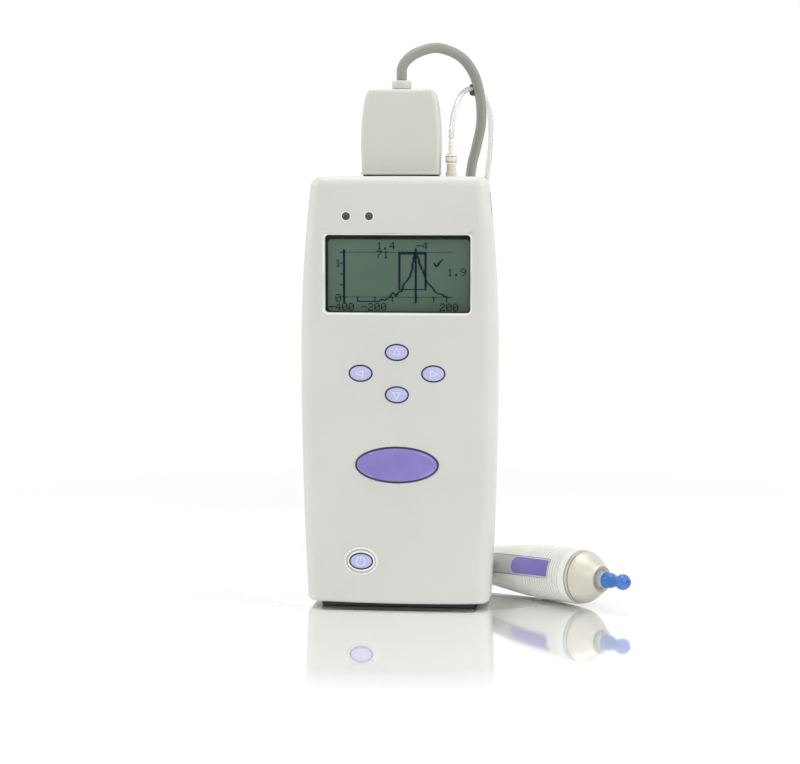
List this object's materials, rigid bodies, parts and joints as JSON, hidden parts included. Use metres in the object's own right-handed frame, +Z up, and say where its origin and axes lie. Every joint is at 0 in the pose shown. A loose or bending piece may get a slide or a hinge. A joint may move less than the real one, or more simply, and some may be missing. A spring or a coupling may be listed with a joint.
{
  "type": "tympanometer",
  "caption": "Hand-held ear pressure tester on its base pad, with a plugged-in lead, an air tube and an ear probe lying beside it.",
  "frame": {"origin": "centre of the base pad's underside, on the surface that the unit stands on", "axes": "+Z up along the unit, the display faces -Y, the connectors are on top, +X is the side with the infrared window"},
  "size_m": [0.1492, 0.1972, 0.2488],
  "materials": {
    "front_cover": "fine texture",
    "rear_cover": "fine texture",
    "top_panel": "fine texture",
    "lcd_lens": "clear",
    "lcd_module": "grey-green display",
    "main_pcb": "solder mask",
    "keypad_mat": "silicone",
    "key_up": "satin lilac",
    "key_down": "satin lilac",
    "key_left": "satin lilac",
    "key_right": "satin lilac",
    "key_power": "satin lilac",
    "led_left": "smoked lens",
    "led_right": "smoked lens",
    "badge_plate": "bare domed plate",
    "ir_window": "clear",
    "battery_door": "fine texture",
    "battery_tray": "satin",
    "contact_plate_lower": "plated",
    "contact_plate_upper": "plated",
    "aa_cell_1": "plain sleeve",
    "aa_cell_2": "plain sleeve",
    "aa_cell_3": "plain sleeve",
    "aa_cell_4": "plain sleeve",
    "pump_cylinder": "clear",
    "pump_piston": "satin",
    "pump_screw": "ground",
    "pump_motor": "plated can",
    "inner_air_tube": "clear silicone",
    "dsub_socket": "satin",
    "luer_port": "ivory",
    "luer_lock_ring": "ivory",
    "luer_barb": "ivory",
    "case_screw_1": "plated",
    "case_screw_2": "plated",
    "case_screw_3": "plated",
    "case_screw_4": "plated",
    "base_pad": "matt",
    "hood_front": "fine texture",
    "hood_rear": "fine texture",
    "plug_connector": "tinned",
    "hood_gland": "satin",
    "cable_run": "satin jacket",
    "tube_run": "clear silicone",
    "lead_junction": "satin",
    "lead_coil": "satin jacket",
    "lead_tail": "satin jacket",
    "coil_tie": "matt strap",
    "cord_clip": "satin",
    "probe_label_shell": "satin white",
    "probe_back_shell": "satin white",
    "probe_label_strip": "bare strip",
    "cone_ring": "turned",
    "nose_cone": "champagne satin",
    "probe_tip_collar": "clear grey",
    "ear_tip": "translucent blue silicone",
    "probe_boot": "satin",
    "probe_receiver": "satin",
    "probe_pcb": "solder mask"
  },
  "bodies": {
    "unit": {"front_cover": "front_cover", "rear_cover": "rear_cover", "top_panel": "top_panel", "lcd_lens": "lcd_lens", "lcd_module": "lcd_module", "main_pcb": "main_pcb", "keypad_mat": "keypad_mat", "led_left": "led_left", "led_right": "led_right", "badge_plate": "badge_plate", "ir_window": "ir_window", "battery_tray": "battery_tray", "contact_plate_lower": "contact_plate_lower", "contact_plate_upper": "contact_plate_upper", "aa_cell_1": "aa_cell_1", "aa_cell_2": "aa_cell_2", "aa_cell_3": "aa_cell_3", "aa_cell_4": "aa_cell_4", "pump_cylinder": "pump_cylinder", "pump_motor": "pump_motor", "inner_air_tube": "inner_air_tube", "dsub_socket": "dsub_socket", "luer_port": "luer_port", "luer_barb": "luer_barb", "case_screw_1": "case_screw_1", "case_screw_2": "case_screw_2", "case_screw_3": "case_screw_3", "case_screw_4": "case_screw_4", "base_pad": "base_pad", "cable_run": "cable_run", "tube_run": "tube_run", "lead_junction": "lead_junction", "lead_coil": "lead_coil", "lead_tail": "lead_tail", "coil_tie": "coil_tie", "cord_clip": "cord_clip", "probe_label_shell": "probe_label_shell", "probe_back_shell": "probe_back_shell", "probe_label_strip": "probe_label_strip", "probe_tip_collar": "probe_tip_collar", "probe_boot": "probe_boot", "probe_receiver": "probe_receiver", "probe_pcb": "probe_pcb"},
    "up_key": {"key_up": "key_up"},
    "down_key": {"key_down": "key_down"},
    "left_key": {"key_left": "key_left"},
    "right_key": {"key_right": "key_right"},
    "power_key": {"key_power": "key_power"},
    "door": {"battery_door": "battery_door"},
    "plug": {"hood_front": "hood_front", "hood_rear": "hood_rear", "plug_connector": "plug_connector", "hood_gland": "hood_gland"},
    "lock_ring": {"luer_lock_ring": "luer_lock_ring"},
    "screw": {"pump_screw": "pump_screw"},
    "piston": {"pump_piston": "pump_piston"},
    "cone_seal": {"cone_ring": "cone_ring"},
    "cone": {"nose_cone": "nose_cone"},
    "tip": {"ear_tip": "ear_tip"}
  },
  "joints": [
    {"name": "key_up_press", "type": "slide", "parent": "unit", "child": "up_key", "axis": [0, 1, 0], "range_m": [0, 0.0007], "stiffness_N_per_m": 2000},
    {"name": "key_down_press", "type": "slide", "parent": "unit", "child": "down_key", "axis": [0, 1, 0], "range_m": [0, 0.0007], "stiffness_N_per_m": 2000},
    {"name": "key_left_press", "type": "slide", "parent": "unit", "child": "left_key", "axis": [0, 1, 0], "range_m": [0, 0.0007], "stiffness_N_per_m": 2000},
    {"name": "key_right_press", "type": "slide", "parent": "unit", "child": "right_key", "axis": [0, 1, 0], "range_m": [0, 0.0007], "stiffness_N_per_m": 2000},
    {"name": "key_power_press", "type": "slide", "parent": "unit", "child": "power_key", "axis": [0, 1, 0], "range_m": [0, 0.0007], "stiffness_N_per_m": 2000},
    {"name": "battery_door_swing", "type": "hinge", "parent": "unit", "child": "door", "pos_m": [0, 0.02, 0.0152], "axis": [-1, 0, 0], "range_deg": [0, 30]},
    {"name": "plug_pull", "type": "slide", "parent": "unit", "child": "plug", "axis": [0, 0, 1], "range_m": [0, 0.007], "deforming": ["cable_run"]},
    {"name": "lock_ring_turn", "type": "hinge", "parent": "unit", "child": "lock_ring", "pos_m": [0.022, 0, 0.1975], "axis": [0, 0, 1], "range_deg": [0, 90]},
    {"name": "pump_screw_turn", "type": "hinge", "parent": "unit", "child": "screw", "pos_m": [-0.015, 0.0074, 0.13], "axis": [0, 0, 1], "range_deg": [0, 1440]},
    {"name": "pump_piston_move", "type": "slide", "parent": "unit", "child": "piston", "axis": [0, 0, 1], "range_m": [0, 0.008]},
    {"name": "nose_cone_lift", "type": "slide", "parent": "unit", "child": "cone_seal", "axis": [0.7426, -0.6686, 0.0384], "range_m": [0, 0.003]},
    {"name": "nose_cone_turn", "type": "hinge", "parent": "cone_seal", "child": "cone", "pos_m": [0.08179, -0.00687, 0.0131], "axis": [0.7426, -0.6686, 0.0384], "range_deg": [0, 720]},
    {"name": "ear_tip_pull", "type": "slide", "parent": "unit", "child": "tip", "axis": [0.7426, -0.6686, 0.0384], "range_m": [0, 0.009]}
  ],
  "couplings": [
    {"joint": "pump_screw_turn", "follows": "pump_piston_move", "rad_per_m": 3141.6},
    {"joint": "nose_cone_lift", "follows": "nose_cone_turn", "m_per_rad": 0.00023873}
  ]
}
